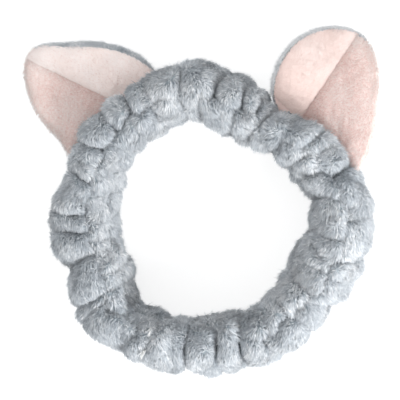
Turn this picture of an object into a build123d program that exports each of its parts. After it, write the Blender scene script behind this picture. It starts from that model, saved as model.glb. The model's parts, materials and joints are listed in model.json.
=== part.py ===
"""Plush spa headband with two cat ears, lying flat as on a table.

The ring's axis is +Z. The origin is on that axis, at half the width of the band.
+Y runs towards the ears, and the ears' pink linings face +Z. Millimetres and degrees.
"""
import math
import os

from build123d import *

os.makedirs("parts", exist_ok=True)

# Band: a gathered tube of plush round an elastic loop
BAND_INNER_R = 56.0
BAND_OUTER_R = 93.5
BAND_WIDTH = 60.0
BAND_ROUND = 16.0
SPLIT_R = 75.0            # radius of the two edge seams, where the outer and inner panels meet

# Hollow inside the band, where the elastic lies
CAVITY_INNER_R = 66.0
CAVITY_OUTER_R = 71.0
CAVITY_HALF_WIDTH = 20.0

# Elastic strip, closed by a lapped and stitched join
ELASTIC_MID_R = 68.0
ELASTIC_THICK = 1.2
ELASTIC_WIDTH = 25.0
LAP_ANGLE = 20.0
STITCH_THICK = 0.5
STITCH_LINE = 1.2
STITCH_MARGIN = 2.5

# Sewn lines: a sunk seam and the groove that it lies in
SEAM_WIDTH = 1.4
SEAM_DEPTH = 1.8
SEAM_SUNK = 0.6
SEAM_GAP = 0.1

# The tube's ends are sewn together at this bearing, clockwise from +Y
CLOSING_BEARING = 191.0
CLOSING_WIDTH = 1.0
CLOSING_DEPTH = 2.0

# Ears: layers of one padded flap, folded along its middle into a shallow V
EAR_THICK = 9.0
EAR_FABRIC = 2.5
EAR_WING_RISE = 12.0      # degrees that each wing rises towards +Z, away from the fold
EAR_FOLD_Z = -4.0
EAR_BOTTOM = -2.4
EAR_FILLING_BOTTOM = 0.8
EAR_SEAM_INSET = 0.5
EAR_SEAM_WIDTH = 2.0
WADDING_INSET = 3.2
EAR_SWING = 30.0          # degrees that an ear tips forward or back about its sewn base

# Valley between the puffs, in which an ear's base is sewn
VALLEY_FLOOR = -3.8
VALLEY_FLOOR_HALF = 9.4
VALLEY_TOP = 24.0
BASE_SEAM_HEIGHT = 1.6
BASE_SEAM_PROUD = 0.6
BASE_SEAM_WIDTH = 1.6

FAR = 120.0


class Ear:
    """One ear's own plane: x along its sewn base, y out from the band, z towards the front."""

    def __init__(self, name, bearing, distance, shift, outline, fold, valley, base_seam):
        turn = math.radians(bearing)
        self.name = name
        self.along = Vector(math.cos(turn), -math.sin(turn), 0)
        self.outward = Vector(math.sin(turn), math.cos(turn), 0)
        self.origin = self.outward * distance + self.along * shift
        self.plane = Plane(origin=self.origin, x_dir=self.along, z_dir=(0, 0, 1))
        self.side_plane = Plane(origin=self.origin, x_dir=self.outward, z_dir=-self.along)
        self.outline = outline
        fold_base, fold_tip = fold
        fold_lean = (fold_tip[0] - fold_base[0], fold_tip[1] - fold_base[1])
        direction = self.along * fold_lean[0] + self.outward * fold_lean[1]
        start = self.origin + self.along * fold_base[0] + self.outward * fold_base[1]
        self.fold_plane = Plane(origin=start, x_dir=direction.cross(Vector(0, 0, 1)), z_dir=-direction)
        self.valley = valley
        self.base_seam = base_seam


LEFT_EAR = Ear(
    "left_ear", bearing=-42.0, distance=82.8, shift=-5.2,
    outline=[(-34.5, -4.0), (-30.5, 22.0), (-22.0, 52.0), (-12.0, 60.5),
             (5.0, 55.5), (28.5, 34.5), (38.0, 12.0), (35.5, -4.0)],
    fold=((10.5, 0.0), (-12.2, 54.0)), valley=(-44.0, 46.0), base_seam=(-30.0, 30.0))
RIGHT_EAR = Ear(
    "right_ear", bearing=42.0, distance=79.0, shift=16.8,
    outline=[(-30.0, -5.0), (-40.5, 5.0), (-48.0, 26.0), (-43.0, 49.0),
             (-24.0, 61.5), (-5.0, 55.5), (14.0, 34.5), (27.5, 9.0), (29.0, -4.0)],
    fold=((-15.5, 0.0), (-24.5, 60.0)), valley=(-50.0, 42.0), base_seam=(-26.0, 26.0))
EARS = [LEFT_EAR, RIGHT_EAR]


def save(part, name):
    """Label one finished piece and write its STEP file."""
    part.label = name
    export_step(part, f"parts/{name}.step")


def band_section(inset=0.0, mode=Mode.ADD):
    """The band's rounded section, drawn in the open sketch; x is the radius, y is +Z."""
    depth = BAND_OUTER_R - BAND_INNER_R - 2 * inset
    with Locations(((BAND_INNER_R + BAND_OUTER_R) / 2, 0)):
        RectangleRounded(depth, BAND_WIDTH - 2 * inset, BAND_ROUND - inset, mode=mode)


def mirrored_outline(half):
    """A closed run of points: the given half from z = 0 upwards, and its mirror below."""
    return half + [(radius, -height) for radius, height in reversed(half)]


def cut_closing_slot():
    """Cut the slot of the closing seam, all round the section, out of the open part."""
    with BuildSketch(CLOSING_PLANE) as slot:
        Rectangle(2 * FAR, 2 * BAND_WIDTH, align=(Align.MIN, Align.CENTER))
        band_section(inset=CLOSING_SLOT_DEPTH, mode=Mode.SUBTRACT)
    extrude(slot.sketch, amount=CLOSING_WIDTH / 2 + SEAM_GAP, both=True, mode=Mode.SUBTRACT)


CLOSING_TURN = math.radians(CLOSING_BEARING)
CLOSING_RADIAL = Vector(math.sin(CLOSING_TURN), math.cos(CLOSING_TURN), 0)
CLOSING_PLANE = Plane(origin=(0, 0, 0), x_dir=CLOSING_RADIAL,
                      z_dir=CLOSING_RADIAL.cross(Vector(0, 0, 1)))
CLOSING_SLOT_DEPTH = SEAM_SUNK + CLOSING_DEPTH + SEAM_GAP

half_band = BAND_WIDTH / 2
groove_floor = half_band - SEAM_SUNK - SEAM_DEPTH - SEAM_GAP
groove_half = SEAM_WIDTH / 2 + SEAM_GAP

# Outer panel: the gathered plush round the outside, split from the inner panel at the seams
with BuildPart() as outer_panel:
    with BuildSketch(Plane.XZ):
        band_section()
        with BuildLine():
            Polyline(*mirrored_outline([
                (0, 2 * half_band), (SPLIT_R + groove_half, 2 * half_band),
                (SPLIT_R + groove_half, groove_floor), (SPLIT_R, groove_floor),
                (CAVITY_OUTER_R, CAVITY_HALF_WIDTH)]), close=True)
        make_face(mode=Mode.SUBTRACT)
    revolve(axis=Axis.Z)
    cut_closing_slot()
    for ear in EARS:
        flare = (VALLEY_TOP - VALLEY_FLOOR) * math.tan(math.radians(EAR_SWING))
        with BuildSketch(ear.side_plane.offset(-ear.valley[1])):
            with BuildLine():
                Polyline((VALLEY_FLOOR, VALLEY_FLOOR_HALF), (VALLEY_TOP, VALLEY_FLOOR_HALF + flare),
                         (VALLEY_TOP, -VALLEY_FLOOR_HALF - flare), (VALLEY_FLOOR, -VALLEY_FLOOR_HALF),
                         close=True)
            make_face()
        extrude(amount=ear.valley[1] - ear.valley[0], mode=Mode.SUBTRACT)
        seam_length = ear.base_seam[1] - ear.base_seam[0]
        with BuildSketch(ear.side_plane.offset(-ear.base_seam[1] - SEAM_GAP)):
            with Locations((VALLEY_FLOOR, 0)):
                Rectangle(2 * (BASE_SEAM_HEIGHT - BASE_SEAM_PROUD + SEAM_GAP),
                          BASE_SEAM_WIDTH + 2 * SEAM_GAP)
        extrude(amount=seam_length + 2 * SEAM_GAP, mode=Mode.SUBTRACT)
save(outer_panel.part, "band_outer_panel")

# Inner panel: the plush that lies on the hair and forehead
with BuildPart() as inner_panel:
    with BuildSketch(Plane.XZ):
        band_section()
        with BuildLine():
            Polyline(*mirrored_outline([
                (2 * BAND_OUTER_R, 2 * half_band), (SPLIT_R - groove_half, 2 * half_band),
                (SPLIT_R - groove_half, groove_floor), (SPLIT_R - SEAM_GAP, groove_floor),
                (CAVITY_OUTER_R - SEAM_GAP, CAVITY_HALF_WIDTH),
                (CAVITY_INNER_R, CAVITY_HALF_WIDTH)]), close=True)
        make_face(mode=Mode.SUBTRACT)
    revolve(axis=Axis.Z)
    cut_closing_slot()
save(inner_panel.part, "band_inner_panel")

# Seams along the band's two edges
for seam_name, side in (("front_edge_seam", 1), ("rear_edge_seam", -1)):
    with BuildPart() as edge_seam:
        with BuildSketch(Plane.XZ):
            with Locations((SPLIT_R, side * (half_band - SEAM_SUNK - SEAM_DEPTH / 2))):
                Rectangle(SEAM_WIDTH, SEAM_DEPTH)
        revolve(axis=Axis.Z)
        cut_closing_slot()
    save(edge_seam.part, seam_name)

# Closing seam: a thin loop round the section, where the tube's two ends are sewn together
with BuildPart() as closing_seam:
    with BuildSketch(CLOSING_PLANE):
        band_section(inset=SEAM_SUNK)
        band_section(inset=SEAM_SUNK + CLOSING_DEPTH, mode=Mode.SUBTRACT)
    extrude(amount=CLOSING_WIDTH / 2, both=True)
save(closing_seam.part, "closing_seam")

# Elastic loop: one strip whose ends lap over each other beside the closing seam
lap_inner_r = ELASTIC_MID_R + ELASTIC_THICK / 2
lap_outer_r = lap_inner_r + ELASTIC_THICK
lap_middle = 90.0 - CLOSING_BEARING
with BuildPart() as elastic_band:
    with BuildSketch(Plane.XY.offset(-ELASTIC_WIDTH / 2)):
        Circle(lap_inner_r)
        Circle(lap_inner_r - ELASTIC_THICK, mode=Mode.SUBTRACT)
    extrude(amount=ELASTIC_WIDTH)
    with BuildSketch(Plane.XY.offset(-ELASTIC_WIDTH / 2)):
        Circle(lap_outer_r)
        Circle(lap_inner_r, mode=Mode.SUBTRACT)
        with BuildLine():
            arc = CenterArc((0, 0), FAR, lap_middle - LAP_ANGLE / 2, LAP_ANGLE)
            Line((0, 0), arc @ 0)
            Line((0, 0), arc @ 1)
        make_face(mode=Mode.INTERSECT)
    extrude(amount=ELASTIC_WIDTH)
save(elastic_band.part, "elastic_band")

# Box of stitching through the elastic's lap
with BuildPart() as elastic_stitching:
    for line_inset, line_mode in ((0.0, Mode.ADD), (STITCH_LINE, Mode.SUBTRACT)):
        box_width = ELASTIC_WIDTH - 2 * (STITCH_MARGIN + line_inset)
        margin_angle = math.degrees((STITCH_MARGIN + line_inset) / lap_outer_r)
        box_angle = LAP_ANGLE - 2 * margin_angle
        with BuildSketch(Plane.XY.offset(-box_width / 2)):
            Circle(lap_outer_r + STITCH_THICK)
            Circle(lap_outer_r, mode=Mode.SUBTRACT)
            with BuildLine():
                arc = CenterArc((0, 0), FAR, lap_middle - box_angle / 2, box_angle)
                Line((0, 0), arc @ 0)
                Line((0, 0), arc @ 1)
            make_face(mode=Mode.INTERSECT)
        extrude(amount=box_width, mode=line_mode)
save(elastic_stitching.part, "elastic_join_stitching")


def flap(ear, inset=0.0):
    """A tall prism of the ear's outline, whose points move towards its middle by the inset."""
    points = [Vector(*point) for point in ear.outline]
    middle = sum(points, Vector(0, 0)) * (1 / len(points))
    with BuildPart(mode=Mode.PRIVATE) as prism:
        with BuildSketch(ear.plane.offset(-FAR)):
            with BuildLine():
                edge = Spline(*[point + (middle - point).normalized() * inset for point in points])
                Line(edge @ 1, edge @ 0)
            make_face()
        extrude(amount=2 * FAR)
    return prism.part


def keep_layer(ear, low, high):
    """Keep what lies between two heights above the V-shaped middle of the flap."""
    rise = FAR * math.tan(math.radians(EAR_WING_RISE))
    with BuildSketch(ear.fold_plane.offset(-FAR)) as layer:
        with BuildLine():
            Polyline((-FAR, EAR_FOLD_Z + rise + low), (0, EAR_FOLD_Z + low),
                     (FAR, EAR_FOLD_Z + rise + low), (FAR, EAR_FOLD_Z + rise + high),
                     (0, EAR_FOLD_Z + high), (-FAR, EAR_FOLD_Z + rise + high), close=True)
        make_face()
    extrude(layer.sketch, amount=2 * FAR, mode=Mode.INTERSECT)


def round_base(ear, bottom):
    """Cut the sewn base to a blunt edge on the hinge line, so that it rolls in its valley."""
    cheek = bottom + EAR_THICK * 2 * math.tan(math.radians(EAR_SWING))
    with BuildSketch(ear.side_plane.offset(-FAR)) as waste:
        with BuildLine():
            Polyline((bottom, 0), (cheek, 2 * EAR_THICK), (-FAR, 2 * EAR_THICK),
                     (-FAR, -2 * EAR_THICK), (cheek, -2 * EAR_THICK), close=True)
        make_face()
    extrude(waste.sketch, amount=2 * FAR, mode=Mode.SUBTRACT)


half_ear = EAR_THICK / 2
for ear in EARS:
    with BuildPart() as ear_back:
        add(flap(ear))
        keep_layer(ear, -half_ear, EAR_FABRIC - half_ear)
        round_base(ear, EAR_BOTTOM)
    save(ear_back.part, f"{ear.name}_back")

    with BuildPart() as ear_lining:
        add(flap(ear))
        keep_layer(ear, half_ear - EAR_FABRIC, half_ear)
        round_base(ear, EAR_BOTTOM)
    save(ear_lining.part, f"{ear.name}_lining")

    with BuildPart() as ear_wadding:
        add(flap(ear, WADDING_INSET))
        keep_layer(ear, EAR_FABRIC - half_ear + SEAM_GAP, half_ear - EAR_FABRIC - SEAM_GAP)
        round_base(ear, EAR_FILLING_BOTTOM)
    save(ear_wadding.part, f"{ear.name}_wadding")

    with BuildPart() as ear_seam:
        add(flap(ear, EAR_SEAM_INSET))
        add(flap(ear, EAR_SEAM_INSET + EAR_SEAM_WIDTH), mode=Mode.SUBTRACT)
        keep_layer(ear, EAR_FABRIC - half_ear + SEAM_GAP, half_ear - EAR_FABRIC - SEAM_GAP)
        round_base(ear, EAR_FILLING_BOTTOM)
    save(ear_seam.part, f"{ear.name}_edge_seam")

    with BuildPart() as base_seam:
        with BuildSketch(ear.side_plane.offset(-ear.base_seam[1])):
            with Locations((VALLEY_FLOOR + BASE_SEAM_PROUD - BASE_SEAM_HEIGHT / 2, 0)):
                Rectangle(BASE_SEAM_HEIGHT, BASE_SEAM_WIDTH)
        extrude(amount=ear.base_seam[1] - ear.base_seam[0])
    save(base_seam.part, f"{ear.name}_base_seam")
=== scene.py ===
"""Plush spa headband with cat ears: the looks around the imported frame. Metres, frame axes."""
import json
import math

import bpy
import numpy as np
from mathutils import Matrix, Vector


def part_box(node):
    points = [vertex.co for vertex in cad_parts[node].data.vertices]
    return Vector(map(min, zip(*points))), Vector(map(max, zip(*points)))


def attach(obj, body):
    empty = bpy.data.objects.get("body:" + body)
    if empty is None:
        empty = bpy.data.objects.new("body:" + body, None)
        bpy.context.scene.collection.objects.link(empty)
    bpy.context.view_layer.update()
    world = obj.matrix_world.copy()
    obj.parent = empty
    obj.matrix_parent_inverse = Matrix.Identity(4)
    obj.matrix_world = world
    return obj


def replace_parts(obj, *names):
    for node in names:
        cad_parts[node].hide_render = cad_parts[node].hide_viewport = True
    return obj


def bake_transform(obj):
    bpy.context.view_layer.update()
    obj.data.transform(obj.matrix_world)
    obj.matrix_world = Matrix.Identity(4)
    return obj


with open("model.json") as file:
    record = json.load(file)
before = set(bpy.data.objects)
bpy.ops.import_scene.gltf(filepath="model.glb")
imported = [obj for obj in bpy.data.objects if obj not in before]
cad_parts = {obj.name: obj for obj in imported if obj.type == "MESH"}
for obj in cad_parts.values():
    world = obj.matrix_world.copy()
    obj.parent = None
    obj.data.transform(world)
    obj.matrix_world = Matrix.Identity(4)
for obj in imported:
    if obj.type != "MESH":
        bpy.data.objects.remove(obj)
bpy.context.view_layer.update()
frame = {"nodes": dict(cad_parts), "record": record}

MM = 0.001

# ---------------- sizes taken from the frame

RECORD = frame["record"]
MOUNTS = {mount["name"]: mount for mount in RECORD["mounts"]}
INNER_R = MOUNTS["head_opening"]["dims"]["r_mm"] * MM
OUTER_LOW, OUTER_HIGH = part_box("band_outer_panel")
OUTER_R = (OUTER_HIGH[0] - OUTER_LOW[0]) / 2
HALF_WIDTH = (OUTER_HIGH[2] - OUTER_LOW[2]) / 2
MID_R = (INNER_R + OUTER_R) / 2
FLOOR_Z = OUTER_LOW[2]
JOINTS = {joint["name"]: joint for joint in RECORD["behaviour"]["joints"]}

# ---------------- the band's form

PILE_LIFT = 1.9 * MM              # how far the pile stands off the cloth under it
TUBE_R = MID_R + 1.6 * MM         # where the gathered tube's middle lies
# Half the tube's thickness and half its width, to the cloth under the pile
SKIN_THICK = (OUTER_R - INNER_R) / 2 - PILE_LIFT - 1.8 * MM
SKIN_WIDE = HALF_WIDTH - PILE_LIFT
GATHER = 9.2 * MM                 # depth of a full crease between two puffs
CREASE_REACH = 6.6 * MM           # how far from a crease the cloth is at its full height
SEAM_REACH = 8.0 * MM             # the same beside the seams along the band
SEWN_REACH = 5.0 * MM             # the same beside the closing seam and the inner row's fold
INNER_FOLD_SECTION = 163.0        # where that fold lies, in degrees round the section
REAR_SEAM_SECTION = -90.0
ABOVE_FLOOR = 0.8 * MM            # the least height of the cloth above the floor

# Creases of the outer row: bearing in degrees clockwise from +Y, and depth, 1 for a full crease
OUTER_CREASES = (
    (6, 1.25), (18, 1.3), (25, 1.25), (32, 1.1), (52, 0.7), (68, 1.0), (90, 0.8), (105, 0.9),
    (113, 0.8), (126, 0.8), (138, 0.8), (151, 1.0), (164.5, 1.1), (175.3, 1.1), (204, 0.3),
    (212, 0.4), (229, 0.5), (236, 0.9), (250, 0.8), (265, 0.9), (272, 0.8), (288, 1.0),
    (300, 1.0), (313, 1.0), (325.5, 1.0), (338, 0.4), (350.5, 0.7))
# Creases of the inner row, mostly between those of the outer row
INNER_CREASES = (
    (12, 0.8), (29, 0.7), (41, 0.9), (57, 0.7), (66, 0.9), (79, 0.6), (98, 0.9), (112, 0.7),
    (124, 0.9), (137, 0.8), (149, 0.7), (160, 0.9), (172, 0.8), (184, 0.6), (201, 0.5),
    (220, 0.8), (232, 0.9), (243, 0.8), (258, 0.9), (270, 0.6), (282, 0.8), (296, 0.7),
    (309, 0.8), (322, 0.7), (334, 0.8), (346, 0.9), (358, 0.7))
# Where the ring strays from a circle: bearing, and shift outwards in millimetres
RING_STRAY = (
    (0, -2.6), (12, -7.2), (22, -9.5), (34, -14.0), (42, -8.0), (52, -4.5), (62, -2.5), (80, 4.0),
    (95, 2.2), (105, 1.0), (130, -3.2), (150, 2.6), (170, 2.2), (185, 3.6), (200, 5.2),
    (215, 9.0), (226, 9.0), (236, 5.0), (246, -2.5), (256, 1.8), (270, 2.6), (282, -0.5),
    (305, 0.2), (320, -0.3), (333, -0.8), (343, 1.2), (351, 2.8))
# Where the tube is fuller or flatter: bearing, and change of its half thickness in millimetres
TUBE_STRAY = (
    (0, -2.2), (12, 0.8), (22, -1.5), (30, -4.0), (36, -7.5), (46, -1.5), (58, -2.0), (66, -0.6),
    (80, -1.8), (90, -1.0), (105, 0.8), (130, -1.5), (160, -2.4), (175, -1.6), (195, -2.0),
    (206, -5.0), (213, -7.0), (221, -4.0), (230, 0.0), (240, 0.0), (246, -3.0), (256, -0.8),
    (270, 2.0), (280, -1.6), (290, -1.2), (305, -1.4), (320, 0.4), (334, -3.0), (345, -2.6))
# How far the tube leans, its front towards the head: bearing, and millimetres at the front
LEAN = ((0, 0.0), (155, 0.0), (170, 4.2), (205, 4.2), (218, 1.0), (232, 0.0))
# How deep the front seam lies between the two rows: bearing, and depth from 0 to 1
SEAM_DEPTH = (
    (0, 0.3), (60, 0.4), (95, 0.7), (150, 0.6), (170, 0.35), (210, 0.35), (230, 0.8), (260, 1.0),
    (318, 1.0), (332, 0.45))
# Where the inner row is folded once along its length: bearing, and how far, from 0 to 1
INNER_FOLD = (
    (0, 0.0), (104, 0.0), (112, 0.8), (138, 0.8), (146, 0.0), (196, 0.0), (206, 1.0), (280, 1.0),
    (292, 0.0))
# How square the tube's section is, from 2 for an ellipse: bearing, and the power
SQUARENESS = (
    (0, 2.35), (150, 2.35), (172, 3.2), (205, 3.3), (222, 2.5), (240, 2.35))
# The front seam's place round the section: bearing, and degrees from the outermost line
FRONT_SEAM = (
    (4, 92), (16, 89), (25, 86), (33, 98), (54, 90), (71, 86), (94, 76), (110, 80), (124, 77),
    (140, 90), (152, 92), (166, 104), (177, 142), (190, 156), (205, 152), (215, 126), (229, 108),
    (257, 121), (275, 111), (300, 106), (315, 101), (330, 91), (350, 95))
CLOSING_BEARING = math.radians(188.5)       # where the tube's two ends are sewn together


def round_table(pairs, bearing):
    """A closed curve along the given (bearing, value) pairs, smoothed, at bearings in radians."""
    places = np.array([pair[0] for pair in pairs], float)
    values = np.array([pair[1] for pair in pairs], float)
    degrees = np.degrees(bearing) % 360
    spread = np.linspace(-7.0, 7.0, 9)
    weights = np.exp(-(spread / 4.5) ** 2)
    total = sum(w * np.interp((degrees + s) % 360, places, values, period=360)
                for s, w in zip(spread, weights))
    return total / weights.sum()


def whole_turn(steps):
    """Evenly spaced angles once round, in radians."""
    return np.arange(steps) * 2 * np.pi / steps


def turned_from(bearing, middle):
    """The angle from middle to bearing, between minus and plus half a turn."""
    return (bearing - middle + np.pi) % (2 * np.pi) - np.pi


def soft_noise(points, size, seed):
    """A smooth field of about -1 to 1, whose lumps are about the given size; the same each run."""
    waves = 20
    rng = np.random.default_rng(seed)
    directions = rng.normal(size=(waves, 3)) * (2.2 / size)
    phases = rng.uniform(0, 2 * np.pi, waves)
    return np.sin(points @ directions.T + phases).sum(1) * math.sqrt(2 / waves) * 0.7


def whorls(points, size, seed):
    """Three smooth fields side by side, which turn the nap this way and that."""
    return np.stack([soft_noise(points, size, seed + k) for k in range(3)], 1)


def pillow(away, reach):
    """1 on a crease, 0 at reach and beyond: the round side of a full puff."""
    near = 1 - np.clip(away / reach, 0, 1)
    return 1 - np.sqrt(1 - near ** 2 * 0.999)


def crease_depth(creases, bearing, section, reach, seed):
    """How far the nearest crease draws the cloth in, each crease wandering across the section."""
    rng = np.random.default_rng(seed)
    deepest = np.zeros_like(bearing)
    for place, depth in creases:
        bow, lean, fork = rng.uniform(-1, 1, 3)
        line = math.radians(place) + np.radians(
            2.2 * bow * np.sin(section) + 1.6 * lean * np.sin(2 * section + bow) + 1.2 * fork)
        away = np.abs(turned_from(bearing, line)) * MID_R
        fade = 0.72 - 0.28 * np.cos(section * 2)
        deepest = np.maximum(deepest, depth * fade * pillow(away, reach * (0.75 + 0.35 * depth)))
    return deepest


def seam_sections(bearing):
    """Where the front and the rear seam lie round the section, in radians."""
    wave = 3 * np.sin(23 * bearing + 1) + 2 * np.sin(41 * bearing)
    front = np.radians(round_table(FRONT_SEAM, bearing) + wave)
    rear = np.radians(REAR_SEAM_SECTION + 7 * np.sin(3 * bearing + 1))
    return front, rear


def inner_row(bearing, section):
    """1 on the row of puffs that faces the head, 0 on the outer row, with a soft step between."""
    seam_front, seam_rear = seam_sections(bearing)
    past_front = section % (2 * np.pi) - seam_front
    before_rear = seam_rear % (2 * np.pi) - section % (2 * np.pi)
    return 1 / (1 + np.exp(-np.minimum(past_front, before_rear) / 0.12))


def gathered(bearing, section):
    """How far the cloth is drawn in at creases and seams: 0 on a puff, 1 in a full crease."""
    seam_front, seam_rear = seam_sections(bearing)
    turn = turned_from(section, 0)
    outer = (turn < seam_front) & (turn > seam_rear)
    arc = (SKIN_THICK + SKIN_WIDE) / 2
    to_front = np.abs(turn - seam_front) * arc
    to_rear = np.abs(turned_from(turn, seam_rear)) * arc
    to_fold = np.abs(turn % (2 * np.pi) - math.radians(INNER_FOLD_SECTION)) * arc
    seam = np.maximum(0.85 * round_table(SEAM_DEPTH, bearing) * pillow(to_front, SEAM_REACH),
                      0.7 * pillow(to_rear, SEAM_REACH))
    seam = np.maximum(seam, 0.9 * round_table(INNER_FOLD, bearing) * pillow(to_fold, SEWN_REACH))
    across = np.where(
        outer, crease_depth(OUTER_CREASES, bearing, section, CREASE_REACH, 3),
        0.78 * crease_depth(INNER_CREASES, bearing, section, CREASE_REACH * 0.9, 4))
    beside = np.abs(turned_from(bearing, CLOSING_BEARING)) * MID_R
    return np.maximum(np.maximum(across, seam), 0.9 * pillow(beside, SEWN_REACH))


# Middle and half span of each ear's valley, how far past MID_R its floor lies, and its half width,
# filled in below, once the ears' places are known
EAR_VALLEYS = []


def band_skin(bearing, section):
    """Points of the cloth under the pile. section is 0 outermost, 90 degrees at the front."""
    stray = round_table(RING_STRAY, bearing) * MM
    fuller = round_table(TUBE_STRAY, bearing) * MM
    cosine, sine = np.cos(section), np.sin(section)
    power = 2 / round_table(SQUARENESS, bearing)
    thick = SKIN_THICK + fuller
    radius = thick * np.sign(cosine) * np.abs(cosine) ** power
    height = SKIN_WIDE * np.sign(sine) * np.abs(sine) ** power
    out_r = np.sign(cosine) * np.abs(cosine) ** (2 - power) / thick
    out_z = np.sign(sine) * np.abs(sine) ** (2 - power) / SKIN_WIDE
    size = np.hypot(out_r, out_z)
    out_r, out_z = out_r / size, out_z / size

    gather = gathered(bearing, section)
    sink = GATHER * gather

    flat = np.stack([(TUBE_R + radius) * np.sin(bearing), (TUBE_R + radius) * np.cos(bearing),
                     height], 1)
    lumps = 1.1 * MM * soft_noise(flat, 14 * MM, 11) + 0.55 * MM * soft_noise(flat, 6 * MM, 12)
    lumps = lumps + inner_row(bearing, section) * 0.8 * MM * soft_noise(flat, 8 * MM, 13)
    behind = np.exp(-((section % (2 * np.pi) - np.radians(197)) / np.radians(22)) ** 2)
    lumps = lumps + 1.6 * MM * round_table(INNER_FOLD, bearing) * behind
    rise = 0.9 * MM + lumps - sink
    height = height + out_z * rise
    lean = round_table(LEAN, bearing) * MM * height / HALF_WIDTH
    radius = TUBE_R + stray + radius + out_r * rise - lean
    for middle, span, depth, half in EAR_VALLEYS:
        window = 1 / (1 + (turned_from(bearing, middle) / span) ** 8)
        trough = window * np.exp(-(height / half) ** 4) * (cosine > 0)
        radius = radius - trough * np.maximum(radius - (MID_R + depth), 0)
    height = np.maximum(height, FLOOR_Z + ABOVE_FLOOR)
    return np.stack([radius * np.sin(bearing), radius * np.cos(bearing), height], 1)


# ---------------- mesh helpers

def mesh_object(name, points, faces):
    """A new, smoothly shaded object from arrays of points and of triangle or quad corners."""
    mesh = bpy.data.meshes.new(name)
    faces = np.asarray(faces)
    count, corners = faces.shape
    mesh.vertices.add(len(points))
    mesh.vertices.foreach_set("co", np.asarray(points, np.float32).ravel())
    mesh.loops.add(count * corners)
    mesh.loops.foreach_set("vertex_index", faces.astype(np.int32).ravel())
    mesh.polygons.add(count)
    mesh.polygons.foreach_set("loop_start", np.arange(0, count * corners, corners, dtype=np.int32))
    mesh.polygons.foreach_set("loop_total", np.full(count, corners, dtype=np.int32))
    mesh.polygons.foreach_set("use_smooth", np.ones(count, bool))
    mesh.update(calc_edges=True)
    mesh.validate()
    piece = bpy.data.objects.new(name, mesh)
    bpy.context.scene.collection.objects.link(piece)
    return piece


def grid_faces(rows, columns, wrap_rows=True):
    """Quads of a grid of points, numbered row by row: each row is a ring, and so are the rows if
    asked."""
    row = np.arange(rows if wrap_rows else rows - 1)
    i, j = np.meshgrid(row, np.arange(columns), indexing="ij")
    i, j = i.ravel(), j.ravel()
    k, m = (i + 1) % rows, (j + 1) % columns
    return np.stack([i * columns + j, k * columns + j, k * columns + m, i * columns + m], 1)


def vertices_of(piece):
    """An object's points as an array."""
    points = np.empty(len(piece.data.vertices) * 3, np.float32)
    piece.data.vertices.foreach_get("co", points)
    return points.reshape(-1, 3).astype(float)


def scatter(piece, count, rng, keep, values=None):
    """Random places on the part of a mesh that keep accepts, even by area: points, smooth normals
    and what values holds there."""
    mesh = piece.data
    mesh.calc_loop_triangles()
    corners = np.empty(len(mesh.loop_triangles) * 3, np.int32)
    mesh.loop_triangles.foreach_get("vertices", corners)
    corners = corners.reshape(-1, 3)
    points = vertices_of(piece)
    normals = np.empty(len(mesh.vertices) * 3, np.float32)
    mesh.vertices.foreach_get("normal", normals)
    normals = normals.reshape(-1, 3).astype(float)
    a, b, c = (points[corners[:, k]] for k in range(3))
    area = np.linalg.norm(np.cross(b - a, c - a), axis=1) * keep((a + b + c) / 3)
    chosen = rng.choice(len(area), size=count, p=area / area.sum())
    u, v = rng.random(count), rng.random(count)
    over = u + v > 1
    u[over], v[over] = 1 - u[over], 1 - v[over]
    weights = np.stack([1 - u - v, u, v], 1)[:, :, None]
    place = (points[corners[chosen]] * weights).sum(1)
    normal = (normals[corners[chosen]] * weights).sum(1)
    if values is None:
        values = np.zeros((len(points), 1))
    return place, unit(normal), (values[corners[chosen]] * weights).sum(1)


SOFT_SHADING = 0.38       # how far a tuft takes the light as the cloth under it does


def unit(vectors):
    """The given rows, each scaled to length 1."""
    return vectors / np.maximum(np.linalg.norm(vectors, axis=1), 1e-9)[:, None]


def tufts(name, place, normal, nap, length, width, lay, shade, materials, soft=SOFT_SHADING):
    """Closed, tapered, three-sided tufts of pile that leave the cloth and bend over along the nap.

    lay is the lean from the normal at the root and at the tip, in degrees, and soft says how far
    each tuft takes the light as the cloth under it does."""
    along = unit(nap - normal * (nap * normal).sum(1)[:, None])
    across = np.cross(normal, along)
    root_lean, tip_lean = (np.radians(angle)[:, None] for angle in lay)
    first = normal * np.cos(root_lean) + along * np.sin(root_lean)
    second = normal * np.cos(tip_lean) + along * np.sin(tip_lean)
    length, width = length[:, None], width[:, None]
    root = place - normal * 0.15 * length
    middle = place + first * length * 0.45
    tip = middle + second * length * 0.55
    side_up = np.cross(across, unit(first + second))
    points = []
    for centre, share in ((root, 0.42), (middle, 0.5)):
        for corner in range(3):
            angle = 2 * math.pi * corner / 3 + math.pi / 2
            points.append(centre + width * share * (math.cos(angle) * across
                                                    + math.sin(angle) * side_up))
    points.append(tip)
    count = len(place)
    points = np.stack(points, 1).reshape(-1, 3)
    one = []
    for corner in range(3):
        other = (corner + 1) % 3
        one += [(other, corner, 3 + other), (3 + other, corner, 3 + corner),
                (3 + other, 3 + corner, 6)]
    one.append((0, 1, 2))
    one = np.array(one)
    faces = (np.arange(count)[:, None, None] * 7 + one[None]).reshape(-1, 3)
    piece = mesh_object(name, points, faces)
    own = np.empty(len(points) * 3, np.float32)
    piece.data.vertices.foreach_get("normal", own)
    cloth = np.repeat(unit(normal + 0.35 * along), 7, axis=0)
    blended = unit(own.reshape(-1, 3) * (1 - soft) + cloth * soft)
    piece.data.normals_split_custom_set_from_vertices(blended.tolist())
    for material in materials:
        piece.data.materials.append(material)
    slots = np.repeat(np.clip(shade, 0, len(materials) - 1).astype(np.int32), len(one))
    piece.data.polygons.foreach_set("material_index", slots)
    return piece


# ---------------- materials

def new_material(name):
    """A new material and its shader."""
    material = bpy.data.materials.new(name)
    material.use_nodes = True
    return material, material.node_tree.nodes["Principled BSDF"]


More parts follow.
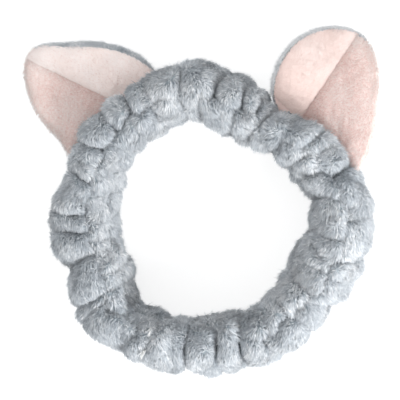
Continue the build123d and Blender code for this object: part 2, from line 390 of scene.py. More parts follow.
def pile_material(name, colour, sheen, sheen_tint):
    """One shade of pile fibre."""
    material, shader = new_material(name)
    shader.inputs["Base Color"].default_value = (*colour, 1)
    shader.inputs["Roughness"].default_value = 0.88
    shader.inputs["Specular IOR Level"].default_value = 0.12
    shader.inputs["Sheen Weight"].default_value = sheen
    shader.inputs["Sheen Roughness"].default_value = 0.45
    shader.inputs["Sheen Tint"].default_value = (*sheen_tint, 1)
    material.diffuse_color = (*colour, 1)
    return material


def cloth_material(name, dark, light, grain, sheen, bump, patch=18 * MM):
    """Short pile or knit ground: colour drifts in patches, and fine fibre grain lifts the light."""
    material, shader = new_material(name)
    nodes, links = material.node_tree.nodes, material.node_tree.links
    place = nodes.new("ShaderNodeTexCoord")
    patches = nodes.new("ShaderNodeTexNoise")
    patches.inputs["Scale"].default_value = 1 / patch
    patches.inputs["Detail"].default_value = 3
    fibres = nodes.new("ShaderNodeTexNoise")
    fibres.inputs["Scale"].default_value = 1 / grain
    fibres.inputs["Detail"].default_value = 6
    fibres.inputs["Roughness"].default_value = 0.7
    blend = nodes.new("ShaderNodeMix")
    blend.data_type = "FLOAT"
    blend.inputs["Factor"].default_value = 0.55
    ramp = nodes.new("ShaderNodeValToRGB")
    ramp.color_ramp.elements[0].position = 0.3
    ramp.color_ramp.elements[0].color = (*dark, 1)
    ramp.color_ramp.elements[1].position = 0.7
    ramp.color_ramp.elements[1].color = (*light, 1)
    rough = nodes.new("ShaderNodeMapRange")
    rough.inputs["To Min"].default_value = 0.7
    rough.inputs["To Max"].default_value = 0.95
    relief = nodes.new("ShaderNodeBump")
    relief.inputs["Strength"].default_value = bump
    relief.inputs["Distance"].default_value = grain
    for texture in (patches, fibres):
        links.new(place.outputs["Object"], texture.inputs["Vector"])
    links.new(patches.outputs["Fac"], blend.inputs["A"])
    links.new(fibres.outputs["Fac"], blend.inputs["B"])
    links.new(blend.outputs["Result"], ramp.inputs["Fac"])
    links.new(ramp.outputs["Color"], shader.inputs["Base Color"])
    links.new(fibres.outputs["Fac"], rough.inputs["Value"])
    links.new(rough.outputs["Result"], shader.inputs["Roughness"])
    links.new(fibres.outputs["Fac"], relief.inputs["Height"])
    links.new(relief.outputs["Normal"], shader.inputs["Normal"])
    shader.inputs["Specular IOR Level"].default_value = 0.2
    shader.inputs["Sheen Weight"].default_value = sheen
    shader.inputs["Sheen Roughness"].default_value = 0.4
    return material


# Shades of grey pile, darkest first; the darkest is painted shade for pile deep in the creases
GREY_SHADES = ((0.11, 0.13, 0.15), (0.275, 0.305, 0.335), (0.35, 0.38, 0.415),
               (0.42, 0.455, 0.49), (0.49, 0.52, 0.55), (0.58, 0.605, 0.63), (0.69, 0.705, 0.72),
               (0.80, 0.81, 0.825))
PINK_SHADES = ((0.74, 0.50, 0.46), (0.86, 0.60, 0.55), (0.92, 0.69, 0.645), (0.965, 0.80, 0.755),
               (0.975, 0.85, 0.81), (0.985, 0.89, 0.86))
PEACH_SHADES = ((0.77, 0.61, 0.565), (0.83, 0.67, 0.625), (0.87, 0.73, 0.69))
grey_pile = [pile_material(f"grey_pile_{k}", shade, 0.5, (0.9, 0.95, 1.0))
             for k, shade in enumerate(GREY_SHADES)]
pink_pile = [pile_material(f"pink_pile_{k}", shade, 0.5, (1.0, 0.93, 0.9))
             for k, shade in enumerate(PINK_SHADES)]
peach_pile = [pile_material(f"peach_pile_{k}", shade, 0.3, (1.0, 0.93, 0.9))
              for k, shade in enumerate(PEACH_SHADES)]
grey_ground = cloth_material("grey_ground", (0.24, 0.28, 0.31), (0.36, 0.41, 0.44),
                             1.6 * MM, 0.3, 0.6)
pink_ground = cloth_material("pink_ground", (0.84, 0.62, 0.57), (0.94, 0.78, 0.73),
                             0.7 * MM, 0.6, 0.5)
elastic_knit = cloth_material("elastic_knit", (0.72, 0.72, 0.70), (0.88, 0.88, 0.86),
                              0.8 * MM, 0.1, 0.6)
wadding_fibre = cloth_material("wadding_fibre", (0.80, 0.80, 0.78), (0.93, 0.93, 0.92),
                               1.0 * MM, 0.2, 0.8)
thread_pale = pile_material("thread_pale", (0.76, 0.77, 0.76), 0.3, (1, 1, 1))
thread_dark = cloth_material("seam_thread", (0.20, 0.23, 0.26), (0.32, 0.36, 0.39),
                             0.5 * MM, 0.1, 0.5)

# ---------------- ears' places

FRONT = Vector((0, 0, 1))
FOLD_FRONT = -4.0 * MM            # how far behind the ring's middle the ears' folds lie


class EarPlace:
    """An ear's own axes at its hinge: along its base, outwards, and to the front."""

    def __init__(self, name):
        joint = JOINTS[f"{name}_fold"]
        self.name = name
        self.origin = Vector(joint["pos_m"])
        self.along = Vector(joint["axis"]).normalized()
        self.outward = FRONT.cross(self.along)

    def to_world(self, across, up, front):
        """Arrays of own coordinates (along, outward, to the front) to an array of points."""
        return (np.array(self.origin)[None] + np.outer(across, np.array(self.along))
                + np.outer(up, np.array(self.outward)) + np.outer(front, np.array(FRONT)))


VALLEY_BELOW_HINGE = 5.5 * MM
VALLEY_HALF = 10.5 * MM
for ear_name, half_span in (("left_ear", 26.0), ("right_ear", 22.0)):
    hinge = EarPlace(ear_name).origin
    EAR_VALLEYS.append((math.atan2(hinge.x, hinge.y), math.radians(half_span),
                        hinge.to_2d().length - VALLEY_BELOW_HINGE - MID_R, VALLEY_HALF))

# ---------------- band

ROUND_STEPS, SECTION_STEPS = 540, 120
grid_bearing, grid_section = (angles.ravel() for angles in np.meshgrid(
    whole_turn(ROUND_STEPS), -whole_turn(SECTION_STEPS), indexing="ij"))


def in_valley(points, spare, share=1.0):
    """Where the cover is sewn down under an ear, with spare room above the valley's floor, along
    the given share of the ear's base."""
    bearing = np.arctan2(points[:, 0], points[:, 1])
    radius = np.hypot(points[:, 0], points[:, 1])
    found = np.zeros(len(points), bool)
    for middle, span, depth, half in EAR_VALLEYS:
        beside = np.abs(turned_from(bearing, middle))
        inside = (beside < span * share) & (np.abs(points[:, 2]) < half * 0.8) & (radius > MID_R)
        found |= inside & (radius < MID_R + depth + spare)
    return found


FILL_FRAMES = 20
FILL_PRESSURE = 4.0
CLOTH_GROWTH = 0.07               # how much too large the cloth is for the form that it covers
FILL_TRAVEL = 2.3 * MM            # how far the filling may move any point
SEWN_FROM = 0.35                  # how far drawn in the cloth is where it counts as sewn


def stuffed(points, faces, pinned):
    """How far each point of a closed cover moves when it is filled and its cloth is a little too
    large for it, by cloth simulation: not at all where it is pinned."""
    cover = mesh_object("filling", points, faces)
    sewn = cover.vertex_groups.new(name="sewn")
    sewn.add(np.nonzero(pinned)[0].tolist(), 1.0, "REPLACE")
    cloth = cover.modifiers.new("cloth", "CLOTH")
    settings = cloth.settings
    settings.quality = 5
    settings.use_pressure = True
    settings.uniform_pressure_force = FILL_PRESSURE
    settings.vertex_group_mass = "sewn"
    settings.shrink_min = -CLOTH_GROWTH
    settings.bending_stiffness = 0.5
    settings.effector_weights.gravity = 0
    cloth.point_cache.frame_start, cloth.point_cache.frame_end = 1, FILL_FRAMES
    for frame_number in range(1, FILL_FRAMES + 1):
        bpy.context.scene.frame_set(frame_number)
    filled = cover.evaluated_get(bpy.context.evaluated_depsgraph_get())
    moved = vertices_of(filled) - points
    bpy.context.scene.frame_set(1)
    bpy.data.objects.remove(cover)
    far = np.maximum(np.linalg.norm(moved, axis=1), 1e-9)
    return moved * np.minimum(1, FILL_TRAVEL / far)[:, None]


def finer(grid):
    """A closed grid of vectors at twice the steps each way, smoothed."""
    for axis in (0, 1):
        between = (grid + np.roll(grid, -1, axis)) / 2
        grid = np.stack([grid, between], axis + 1).reshape(
            [size * (2 if k == axis else 1) for k, size in enumerate(grid.shape)])
        grid = (np.roll(grid, 1, axis) + 2 * grid + np.roll(grid, -1, axis)) / 4
    return grid


BESIDE_EAR = 8 * MM               # how high above a valley's floor the cover belongs to the valley

cover_points = band_skin(grid_bearing, grid_section)
coarse = np.arange(ROUND_STEPS * SECTION_STEPS).reshape(ROUND_STEPS, SECTION_STEPS)[::2, ::2]
half_grid = coarse.ravel()
sewn_down = ((gathered(grid_bearing[half_grid], grid_section[half_grid]) > SEWN_FROM)
             | in_valley(cover_points[half_grid], BESIDE_EAR))
swell = stuffed(cover_points[half_grid], grid_faces(*coarse.shape), sewn_down)
cover_points += finer(swell.reshape(*coarse.shape, 3)).reshape(-1, 3)
cover_points[:, 2] = np.maximum(cover_points[:, 2], FLOOR_Z + ABOVE_FLOOR)
skin = mesh_object("band_cover", cover_points, grid_faces(ROUND_STEPS, SECTION_STEPS))
skin.data.materials.append(grey_ground)
skin_gather = gathered(grid_bearing, grid_section)
skin_inner = inner_row(grid_bearing, grid_section)

PILE_PIECES = 16
TUFTS_EACH = 19000
PILE_LENGTH = 4.6                 # in millimetres, like the widths below
PILE_WIDTHS = (0.34, 0.68)
STRAY_SHARE = 0.2                 # the share of loose fibres, which blur the outline
COMB = np.array([0.05, -1.0, -0.15])       # the way the pile is stroked down


def climb_along(grid, places, way):
    """How fast a value on a closed grid of places climbs along a way, per metre."""
    climb = np.zeros(grid.size)
    for axis in (0, 1):
        step = (np.roll(places, -1, axis) - np.roll(places, 1, axis)).reshape(-1, 3)
        rise = (np.roll(grid, -1, axis) - np.roll(grid, 1, axis)).ravel()
        climb += rise * (step @ way) / np.maximum((step * step).sum(1), 1e-12)
    return climb


grid_shape = (ROUND_STEPS, SECTION_STEPS)
# Pile over a crease along the comb hangs longer and gets a painted highlight; just below, painted
# shade
brink = 4 * MM * climb_along(skin_gather.reshape(grid_shape),
                             cover_points.reshape(*grid_shape, 3), COMB)
brink = np.clip(brink, -1, 1)              # 1 where the pile is about to hang over a crease


def band_pile(index):
    """The long pile of one slice of the band."""
    rng = np.random.default_rng(100 + index)
    low, high = (2 * np.pi * (index + step) / PILE_PIECES for step in (0, 1))

    def keep(points):
        bearing = np.arctan2(points[:, 0], points[:, 1]) % (2 * np.pi)
        hidden = in_valley(points, 2 * MM, 0.8) & (np.abs(points[:, 2] - FOLD_FRONT) < 3.5 * MM)
        return ~hidden & (bearing >= low) & (bearing < high)

    place, normal, known = scatter(skin, TUFTS_EACH, rng, keep,
                                   np.stack([skin_gather, skin_inner, brink], 1))
    drawn_in, inner, overhang = known.T
    swirl = whorls(place, 12 * MM, 21)
    jitter = rng.normal(size=place.shape)
    nap = COMB[None] + 0.7 * swirl + 0.22 * jitter
    length = (PILE_LENGTH + 0.7 * soft_noise(place, 9 * MM, 31) + rng.normal(0, 0.5, len(place))) * MM
    length *= 1 - 0.8 * np.clip(1.6 * drawn_in, 0, 1)
    length *= 1 + 0.3 * overhang
    length[in_valley(place, BESIDE_EAR)] *= 0.6
    stray = rng.random(len(place)) < STRAY_SHARE
    length *= np.where(stray, 1.15, 1.0)
    width = rng.uniform(*PILE_WIDTHS, len(place)) * np.where(stray, 0.7, 1.0) * MM
    lay = (rng.normal(np.where(stray, 30, 48), 7), rng.normal(np.where(stray, 54, 76), 8))
    # The inner row's paler tone is a painted highlight; overhang adds painted highlight and shade
    tone = (3.8 + 0.45 * inner + 0.55 * soft_noise(place, 16 * MM, 41)
            + 0.4 * soft_noise(place, 4 * MM, 42) + 1.3 * overhang + rng.normal(0, 1.25, len(place)))
    # Pile deep in a crease drops to the darkest shades: painted shade
    tone = np.maximum(tone, 1) - 6.5 * np.clip(drawn_in - 0.22, 0, 1)
    piece = tufts(f"band_pile_{index + 1}", place, normal, nap, length, width, lay,
                  np.round(tone), grey_pile)
    points = vertices_of(piece)
    points[:, 2] = np.maximum(points[:, 2], FLOOR_Z + 0.1 * MM)
    piece.data.vertices.foreach_set("co", points.astype(np.float32).ravel())
    piece.data.update()
    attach(piece, "band")


for index in range(PILE_PIECES):
    band_pile(index)


def thread_tube(name, path, thick, body="band"):
    """A thin sewn thread that follows the given points, with a stitch's dip every few of them. It
    rides its body, or is left unattached if that is None."""
    along = unit(np.roll(path, -1, axis=0) - np.roll(path, 1, axis=0))
    side = unit(np.cross(along, np.array([0.13, 0.21, 0.97])[None]))     # no thread runs that way
    over = np.cross(side, along)
    swell = 1 + 0.25 * np.cos(np.arange(len(path)) * np.pi / 2)[:, None]
    ring = []
    for corner in range(6):
        angle = 2 * math.pi * corner / 6
        ring.append(path + thick / 2 * swell * (math.cos(angle) * side + math.sin(angle) * over))
    points = np.stack(ring, 1).reshape(-1, 3)
    piece = mesh_object(name, points, grid_faces(len(path), 6))
    piece.data.materials.append(thread_dark)
    if body:
        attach(piece, body)
    return piece


SEAM_STEPS, CLOSING_STEPS = 900, 240
SEAM_SINK = 0.6 * MM
THREAD = 0.9 * MM
seam_bearing = whole_turn(SEAM_STEPS)
for side, section, lift in zip(("front", "rear"), seam_sections(seam_bearing), (-1, 1)):
    path = band_skin(seam_bearing, section)
    path[:, 2] += lift * SEAM_SINK * 0.5
    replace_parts(thread_tube(f"{side}_seam_thread", path, THREAD), f"{side}_edge_seam")
closing_line = band_skin(np.full(CLOSING_STEPS, CLOSING_BEARING), whole_turn(CLOSING_STEPS))
middle_of_tube = closing_line.mean(0)
closing_line += unit(middle_of_tube[None] - closing_line) * SEAM_SINK
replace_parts(thread_tube("closing_seam_thread", closing_line, THREAD), "closing_seam")

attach(skin, "band")
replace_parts(skin, "band_outer_panel", "band_inner_panel")

# Sewing the tube shut left two small sheaves of pale thread ends on the front of the band
SHEAVES = ((206, 122), (204.5, 70))         # bearing, and degrees round the section
ENDS_EACH = 9
rng = np.random.default_rng(9)
ends, lifts, strokes = [], [], []
for sheaf_bearing, sheaf_section in SHEAVES:
    for _ in range(ENDS_EACH):
        row = round((sheaf_bearing + rng.normal(0, 0.7)) / 360 * ROUND_STEPS)
        column = round((360 - sheaf_section + rng.normal(0, 2.5)) / 360 * SECTION_STEPS)
        ends.append(cover_points[row * SECTION_STEPS + column] + np.array([0, 0, 3.0 * MM]))
        lifts.append([0.1, 0.1, 1])
        strokes.append([-0.35 + rng.normal(0, 0.15), -1 + rng.normal(0, 0.2), 0])
count = len(ends)
tails = tufts("closing_thread_ends", np.array(ends), unit(np.array(lifts)), np.array(strokes),
              rng.uniform(5, 8, count) * MM, rng.uniform(0.35, 0.6, count) * MM,
              (rng.normal(70, 6, count), rng.normal(92, 5, count)), np.zeros(count), [thread_pale])
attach(tails, "band")

# ---------------- elastic inside the band

ELASTIC_LOW, ELASTIC_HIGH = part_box("elastic_band")
ELASTIC_HALF = (ELASTIC_HIGH[2] - ELASTIC_LOW[2]) / 2
ELASTIC_THICK = 1.2 * MM
ELASTIC_INWARD = 4.5 * MM         # how far it lies from the tube's middle, towards the head
LAP_BEARING = 191.0               # where its two ends are sewn together
ELASTIC_STEPS, RIB_STEPS = 720, 21
RIPPLES = 54


def elastic_line(bearing, height, lift):
    """Points of the elastic, which lies on the head's side of the stuffed tube and ripples."""
    radius = TUBE_R + round_table(RING_STRAY, bearing) * MM - ELASTIC_INWARD + lift
    radius = radius + 0.5 * MM * np.sin(bearing * RIPPLES)
    return np.stack([radius * np.sin(bearing), radius * np.cos(bearing), height], 1)


turns = np.repeat(whole_turn(ELASTIC_STEPS), 2 * RIB_STEPS)
rib = np.tile(np.concatenate([np.linspace(-1, 1, RIB_STEPS), np.linspace(1, -1, RIB_STEPS)]),
              ELASTIC_STEPS)
inside = np.tile(np.repeat((0.0, 1.0), RIB_STEPS), ELASTIC_STEPS)
ribs = 0.15 * MM * np.cos(rib * 10 * np.pi)
elastic = mesh_object("elastic_loop", elastic_line(
    turns, rib * ELASTIC_HALF, ribs * (1 - 2 * inside) + (0.5 - inside) * ELASTIC_THICK),
    grid_faces(ELASTIC_STEPS, 2 * RIB_STEPS))
elastic.data.materials.append(elastic_knit)
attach(elastic, "band")
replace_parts(elastic, "elastic_band")
# The join's stitches run across the lap and back in waves, in two rows of as many points
ROW = 48
LAP_DEGREES = 4.0
zig = np.arange(2 * ROW)
lap = np.radians(LAP_BEARING + LAP_DEGREES * (np.abs(zig % ROW - ROW / 2) / (ROW / 2) - 0.5))
wave = np.sin(zig / ROW * 4 * np.pi)
height = ELASTIC_HALF * 0.85 * np.where(zig < ROW, wave, -wave * 0.8)
join = thread_tube("elastic_join_thread", elastic_line(lap, height, -0.75 * MM), 0.7 * MM)
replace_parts(join, "elastic_join_stitching")

# ---------------- ears

EAR_STEPS, BASE_STEPS = 360, 90
EAR_HALF = 4.4 * MM               # half the stuffed thickness between the two cloths
CLOTH = 1.1 * MM                  # how thick each cloth is under its pile
WING_RISE = math.radians(12.0)    # how steeply each wing rises from the fold
LINING_WRAP = 2.0                 # millimetres that the lining wraps to the back elsewhere
EAR_TURNS = whole_turn(EAR_STEPS)


class Ear(EarPlace):
    """A stuffed ear: a pink lining in front, a grey back that wraps round one edge, and a fold."""

    def __init__(self, name, fold, wrap_middle, wrap_width, fuller, seed):
        super().__init__(name)
        self.fold_base, self.fold_tip = (np.array(point) * MM for point in fold)
        self.seed = seed
        self.edge = self.outline()
        for towards, width, spread in fuller:
            apart = 1 - np.cos(EAR_TURNS - math.radians(towards))
            self.edge += width * MM * np.exp(-(apart / spread) ** 2)
        window = 1 / (1 + np.exp(-7 * (np.cos(EAR_TURNS - math.radians(wrap_middle)) - 0.38)))
        self.wrap = (wrap_width * window - LINING_WRAP * (1 - window)) * MM
        self.seam = 1 - self.wrap / self.edge

    def own(self, points):
        """Points of the world in the ear's own coordinates."""
        away = points - np.array(self.origin)[None]
        return np.stack([away @ np.array(axis) for axis in (self.along, self.outward, FRONT)], 1)

    def outline(self):
        """The flap's edge as a distance per direction from its middle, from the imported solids."""
        flat = np.concatenate([self.own(vertices_of(frame["nodes"][f"{self.name}_{layer}"]))
                               for layer in ("lining", "back")])[:, :2]
        low, high = flat.min(0), flat.max(0)
        self.middle = np.array([(low[0] + high[0]) / 2, low[1] + 0.45 * (high[1] - low[1])])
        away = flat - self.middle
        turn = np.arctan2(away[:, 1], away[:, 0])
        reach = np.hypot(away[:, 0], away[:, 1])
        edge = np.full(EAR_STEPS, np.nan)
        for step, direction in enumerate(EAR_TURNS):
            near = np.abs(turned_from(turn, direction)) < np.radians(2.5)
            if near.any():
                edge[step] = reach[near].max()
        known = ~np.isnan(edge)
        edge = np.interp(EAR_TURNS, EAR_TURNS[known], edge[known], period=2 * np.pi)
        kernel = np.exp(-(np.arange(-8, 9) / 4.0) ** 2)
        wrapped = np.concatenate([edge[-8:], edge, edge[:8]])
        return np.convolve(wrapped, kernel / kernel.sum(), "valid") - 0.8 * MM

    def fold_side(self, across, up):
        """Distance from the fold, positive on the side of the ear's +along."""
        lean = self.fold_tip - self.fold_base
        lean = lean / np.hypot(*lean)
        return (across - self.fold_base[0]) * lean[1] - (up - self.fold_base[1]) * lean[0]

    def wing_front(self, across, up):
        """How far to the front the middle of a wing lies."""
        return FOLD_FRONT + np.abs(self.fold_side(across, up)) * math.tan(WING_RISE)

    def surface(self, share, front, inset=0.0):
        """One ring of the stuffed face. share is 0 in the middle and 1 at the edge, per direction."""
        reach = (self.edge - inset) * share
        across = self.middle[0] + reach * np.cos(EAR_TURNS)
        up = self.middle[1] + reach * np.sin(EAR_TURNS)
        side = self.fold_side(across, up)
        flat = np.stack([across, up, np.zeros_like(up)], 1)
        full = np.sqrt(np.clip(1 - share ** 3.2, 0, 1))
        drawn = 1 - 0.45 * np.exp(-np.maximum(up, 0) / (8 * MM))
        pinch = 1 - 0.5 * np.exp(-np.abs(side) / (2.6 * MM)) if front > 0 else 1.0
        lumps = (0.5 * MM * soft_noise(flat, 13 * MM, self.seed + front)
                 + 0.15 * MM * soft_noise(flat, 4 * MM, self.seed + 3 + front))
        thick = np.maximum(EAR_HALF * pinch * drawn + lumps - inset, 0.2 * MM) * full
        cockle = 0.5 * MM * share ** 4 * soft_noise(flat, 9 * MM, self.seed + 6)
        return self.to_world(across, up, self.wing_front(across, up) + cockle + front * thick)

    def ring(self, past, inset=0.0):
        """A ring across the ear: past runs from 0 at the lining's middle, through 1 at the edge,
        to 2 at the back's middle, and may differ per direction."""
        past = np.broadcast_to(past, EAR_STEPS)
        ahead = self.surface(np.minimum(past, 1), 1, inset)
        behind = self.surface(np.minimum(2 - past, 1), -1, inset)
        return np.where((past <= 1)[:, None], ahead, behind)


def smooth_shares(count):
    """Shares from just over 0 to 1, closer together towards 1."""
    return np.sin(np.linspace(0, np.pi / 2, count + 1)[1:])


def ring_stack(rings):
    """A closed skin from rings of points, whose first and last ring close to their middles."""
    count = len(rings)
    points = np.concatenate(rings)
    quads = grid_faces(count, EAR_STEPS, wrap_rows=False)
    step = np.arange(EAR_STEPS)
    after = (step + 1) % EAR_STEPS
    last = (count - 1) * EAR_STEPS
    start = np.stack([np.full(EAR_STEPS, len(points)), step, after], 1)
    end = np.stack([np.full(EAR_STEPS, len(points) + 1), last + after, last + step], 1)
    points = np.concatenate([points, rings[0].mean(0)[None], rings[-1].mean(0)[None]])
    return points, np.concatenate([quads[:, (0, 1, 2)], quads[:, (0, 2, 3)], start, end])


def outward_facing(name, points, faces):
    """The mesh with its faces turned so that it encloses a positive volume."""
    a, b, c = (points[faces[:, k]] for k in range(3))
    if (np.cross(a, b) * c).sum() < 0:
        faces = faces[:, ::-1]
    return mesh_object(name, points, faces)


def build_ear(ear, pale_side, pale_pile, pale_tone, deep_tone, rim_tone):
    """All pieces of one ear. pale_side is the sign of the wing whose nap is laid towards the light,
    and whose paler shades are painted light caught by that nap; the tones count up the shades of
    pile on the two wings and along the rim."""
    made = []

    rings = [ear.ring(ear.seam * share) for share in smooth_shares(64)]
    rings += [ear.ring(ear.seam * share, CLOTH) for share in smooth_shares(24)[::-1]]
    lining = outward_facing(f"{ear.name}_lining_cloth", *ring_stack(rings))
    lining.data.materials.append(pink_ground)
    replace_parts(lining, f"{ear.name}_lining")
    made.append((lining, "pink_plush"))

    rings = [ear.ring(2 - (2 - ear.seam) * share) for share in smooth_shares(72)]
    rings += [ear.ring(2 - (2 - ear.seam) * share, CLOTH) for share in smooth_shares(28)[::-1]]
    back = outward_facing(f"{ear.name}_back_cloth", *ring_stack(rings))
    back.data.materials.append(grey_ground)
    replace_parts(back, f"{ear.name}_back")
    made.append((back, "grey_plush"))

    inset = CLOTH + 0.3 * MM
    shares = smooth_shares(30)
    rings = [ear.ring(share, inset) for share in shares]
    rings += [ear.ring(2 - share, inset) for share in shares[-2::-1]]
    stuffing = outward_facing(f"{ear.name}_stuffing", *ring_stack(rings))
    stuffing.data.materials.append(wadding_fibre)
    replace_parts(stuffing, f"{ear.name}_wadding")
    made.append((stuffing, "wadding"))

    thread = thread_tube(f"{ear.name}_edge_thread", ear.ring(ear.seam, 0.5 * MM), 0.8 * MM, None)
    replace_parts(thread, f"{ear.name}_edge_seam")
    made.append((thread, "grey_thread"))

    made.append((ear_fuzz(ear, lining, pale_side, True, pale_pile, pale_tone), "pink_plush"))
    made.append((ear_fuzz(ear, lining, -pale_side, False, pink_pile, deep_tone), "pink_plush"))
    made.append((ear_back_pile(ear, back), "grey_plush"))
    made.append((ear_rim_pile(ear, back, rim_tone), "grey_plush"))

    for piece, slot in made:
        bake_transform(piece)

    half_base = ear.edge.mean() * 0.7
    along = np.linspace(-half_base, half_base, BASE_STEPS)
    base = np.concatenate([along, along[::-1]])
    front = np.repeat((1.0, -1.0), BASE_STEPS)
    path = ear.to_world(base, np.full(len(base), -0.8 * MM), ear.wing_front(base, 0 * base)
                        + front * (EAR_HALF * 0.55 + 0.4 * MM))
    base_thread = thread_tube(f"{ear.name}_base_thread", path, 1.0 * MM)
    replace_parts(base_thread, f"{ear.name}_base_seam")


FUZZ_EACH = 17000
BACK_EACH = 16000
RIM_EACH = 8000


def outer_places(ear, piece, count, rng, keep):
    """Places on the side of an ear's cloth that shows, with their own coordinates."""
    place, normal, _ = scatter(piece, count, rng, keep)
    own = ear.own(place)
    across, up = (ear.middle + 0.85 * (own[:, :2] - ear.middle)).T
    heart = ear.to_world(across, up, ear.wing_front(own[:, 0], own[:, 1]))
    shows = ((place - heart) * normal).sum(1) > 0
    return place[shows], normal[shows], own[shows]


def ear_fuzz(ear, lining, side, pale, pile, tone_here):
    """The lining's short velvet pile on one wing."""
    rng = np.random.default_rng(ear.seed + 10 + side)

    def keep(points):
        own = ear.own(points)
        return (ear.fold_side(own[:, 0], own[:, 1]) * side > 0) & (own[:, 1] > 0)

    place, normal, own = outer_places(ear, lining, FUZZ_EACH * 2, rng, keep)
    place, normal, own = place[:FUZZ_EACH], normal[:FUZZ_EACH], own[:FUZZ_EACH]
    swirl = whorls(place, 16 * MM, ear.seed + 20)
    stroke = ear.outward if pale else -ear.outward - ear.along * side * 0.6
    nap = (np.array(stroke)[None] + 0.25 * swirl
           + (0.25 if pale else 0.6) * rng.normal(size=place.shape))
    count = len(place)
    length = rng.normal(1.5, 0.2, count) * MM
    width = rng.uniform(0.28, 0.5, count) * MM
    lay = (rng.normal(58, 6, count), rng.normal(80, 6, count)) if pale else (
        rng.normal(45, 8, count), rng.normal(72, 8, count))
    inside = np.maximum(edge_facts(ear, own)[0], 0)
    rim = np.exp(-inside / (1.6 * MM))
    lay = (lay[0] - 34 * rim, lay[1] - 36 * rim)
    length *= 1 + rim * np.clip(rng.normal(0.55, 0.45, count), -0.3, 1.4)
    width *= 1 - 0.35 * rim
    # Painted light: shade near the fold and towards the base, and a highlight along the edge and at
    # the tip
    near_fold = np.exp(-np.abs(ear.fold_side(own[:, 0], own[:, 1])) / (14 * MM))
    low = np.exp(-np.maximum(own[:, 1], 0) / (16 * MM))
    to_tip = np.hypot(*(own[:, :2] - ear.fold_tip).T)
    lit = 1.5 * np.exp(-inside / (2.2 * MM)) + 1.5 * np.exp(-(to_tip / (9 * MM)) ** 2)
    tone = tone_here - (0.2 if pale else 1.1) * near_fold - (1.3 if pale else 0.8) * low
    tone = tone + (0.3 if pale else 1.0) * lit
    tone = (tone + 0.3 * soft_noise(place, 14 * MM, ear.seed + 31)
            + rng.normal(0, 0.3 if pale else 1.0, count))
    return tufts(f"{ear.name}_velvet_{'pale' if pale else 'deep'}_wing", place, normal, nap,
                 length, width, lay, np.round(tone), pile, 0.93 if pale else 0.75)


def edge_facts(ear, own):
    """How far places lie inside the ear's edge, and how far the back wraps to the front there."""
    away = own[:, :2] - ear.middle
    turn = np.arctan2(away[:, 1], away[:, 0]) % (2 * np.pi)
    edge = np.interp(turn, EAR_TURNS, ear.edge, period=2 * np.pi)
    wrap = np.interp(turn, EAR_TURNS, ear.wrap, period=2 * np.pi)
    return edge - np.hypot(away[:, 0], away[:, 1]), wrap


def ear_back_pile(ear, back):
    """The long grey pile of the back."""
    rng = np.random.default_rng(ear.seed + 50)

    def keep(points):
        own = ear.own(points)
        inside, wrap = edge_facts(ear, own)
        return (own[:, 1] > 1 * MM) & (inside > 1.2 * MM + np.maximum(wrap, 0))

    place, normal, own = outer_places(ear, back, BACK_EACH, rng, keep)
    swirl = whorls(place, 12 * MM, ear.seed + 60)
    nap = COMB[None] * 0.7 + 0.6 * swirl + 0.3 * rng.normal(size=place.shape)
    count = len(place)
    length = rng.normal(3.0, 0.5, count) * MM
    width = rng.uniform(0.45, 0.8, count) * MM
    lay = (rng.normal(48, 8, count), rng.normal(76, 8, count))
    tone = (3.8 + 0.7 * soft_noise(place, 14 * MM, ear.seed + 41) + rng.normal(0, 0.9, count))
    return tufts(f"{ear.name}_back_pile", place, normal, nap, length, width, lay,
                 np.round(tone), grey_pile)


def ear_rim_pile(ear, back, rim_tone):
    """The soft fringe where the back's pile wraps round one edge to the front."""
    rng = np.random.default_rng(ear.seed + 51)

    def keep(points):
        own = ear.own(points)
        inside, wrap = edge_facts(ear, own)
        return (own[:, 1] > 1 * MM) & (inside < 3.5 * MM) & (wrap > 0.1 * MM)

    place, normal, own = outer_places(ear, back, RIM_EACH, rng, keep)
    centre = ear.to_world(ear.middle[:1], ear.middle[1:], np.array([FOLD_FRONT]))
    out = place - centre
    out[:, 2] = 0
    out = unit(out)
    swirl = whorls(place, 7 * MM, ear.seed + 64)
    count = len(place)
    stray = rng.random(count) < 0.3           # the loose fibres that blur the edge
    nap = np.where(stray[:, None], 1.0, 0.6) * out + 0.35 * swirl
    nap = nap + 0.8 * np.where(stray, 0, 1)[:, None] * np.cross(np.array(FRONT)[None], out)
    nap = nap + 0.25 * rng.normal(size=place.shape)
    length = np.maximum(rng.normal(2.1, 0.6, count), 0.8) * np.where(stray, 1.35, 1.0) * MM
    width = rng.uniform(0.18, 0.34, count) * np.where(stray, 0.6, 1.0) * MM
    flat = np.abs(normal[:, 2])
    lay = (rng.normal(22 + 42 * flat, 14), rng.normal(42 + 40 * flat, 16))
    tone = rim_tone + 0.8 * soft_noise(place, 9 * MM, ear.seed + 43) + rng.normal(0, 1.0, count)
    return tufts(f"{ear.name}_rim_pile", place, normal, nap, length, width, lay,
                 np.round(tone), grey_pile)


# In the ear's own plane, in millimetres and degrees: the fold's base and tip, where and how far
# the back wraps to the front, and where, how much and how widely the outline is fuller
build_ear(Ear("left_ear", fold=((10.5, 0.0), (-12.2, 54.0)), wrap_middle=35.0, wrap_width=2.8,
              fuller=((155.0, 3.2, 0.35), (108.0, 1.8, 0.07)), seed=70),
          pale_side=1, pale_pile=pink_pile, pale_tone=4.8, deep_tone=3.4, rim_tone=4.4)
# The right ear's rim takes paler shades than the left's: painted light shining through its fibres
build_ear(Ear("right_ear", fold=((-15.5, 0.0), (-24.5, 60.0)), wrap_middle=169.0, wrap_width=1.7,
              fuller=((205.0, 2.0, 0.35), (254.0, 6.0, 0.035)), seed=170),
          pale_side=-1, pale_pile=peach_pile, pale_tone=1.6, deep_tone=3.1, rim_tone=6.9)

# ---------------- camera, light and floor

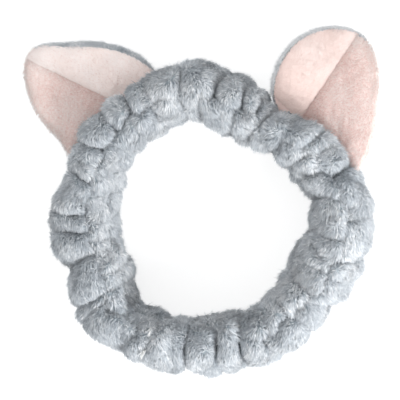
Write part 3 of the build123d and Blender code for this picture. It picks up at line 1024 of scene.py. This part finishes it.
TILT = math.radians(9.0)             # the camera stands this far off the ring's axis
TILT_BEARING = math.radians(52.0)    # towards this bearing, clockwise from +Y
CAMERA_DISTANCE = 1.05
WIDTH_SEEN = 240.0 * MM              # what the picture's width spans at the object
AIM = Vector((-5.4, 10.2, 8.0)) * MM

back = Vector((math.sin(TILT) * math.sin(TILT_BEARING),
               math.sin(TILT) * math.cos(TILT_BEARING), math.cos(TILT)))
camera_data = bpy.data.cameras.new("camera")
camera_data.sensor_width = 36.0
camera_data.lens = camera_data.sensor_width * CAMERA_DISTANCE / WIDTH_SEEN
camera_data.clip_start = 0.01
camera = bpy.data.objects.new("camera", camera_data)
bpy.context.scene.collection.objects.link(camera)
side = Vector((0, 1, 0)).cross(back).normalized()
up = back.cross(side)
camera.matrix_world = Matrix.Translation(AIM + back * CAMERA_DISTANCE) @ Matrix(
    (side, up, back)).transposed().to_4x4()
bpy.context.scene.camera = camera


def area_light(name, position, size, power):
    """A round white light that faces the ring's middle."""
    data = bpy.data.lights.new(name, "AREA")
    data.shape = "DISK"
    data.size = size
    data.energy = power
    lamp = bpy.data.objects.new(name, data)
    bpy.context.scene.collection.objects.link(lamp)
    lamp.location = position
    lamp.rotation_euler = (-position).to_track_quat("-Z", "Y").to_euler()


area_light("key", Vector((0.75, -0.62, 0.65)), 0.6, 14.5)
area_light("fill", Vector((-0.7, 0.5, 0.9)), 1.2, 2.0)

world = bpy.data.worlds.new("studio")
world.use_nodes = True
world.node_tree.nodes["Background"].inputs["Color"].default_value = (1, 1, 1, 1)
world.node_tree.nodes["Background"].inputs["Strength"].default_value = 1.04
bpy.context.scene.world = world
bpy.context.scene.view_settings.view_transform = "Standard"

FLOOR_HALF = 3.0
floor = mesh_object("floor", [(x * FLOOR_HALF, y * FLOOR_HALF, FLOOR_Z)
                              for x, y in ((-1, -1), (1, -1), (1, 1), (-1, 1))], [(0, 1, 2, 3)])
floor_material, floor_shader = new_material("floor_paper")
floor_shader.inputs["Base Color"].default_value = (0.4, 0.4, 0.4, 1)
floor_shader.inputs["Roughness"].default_value = 0.9
floor_shader.inputs["Emission Color"].default_value = (1, 1, 1, 1)
floor_shader.inputs["Emission Strength"].default_value = 0.73
floor.data.materials.append(floor_material)
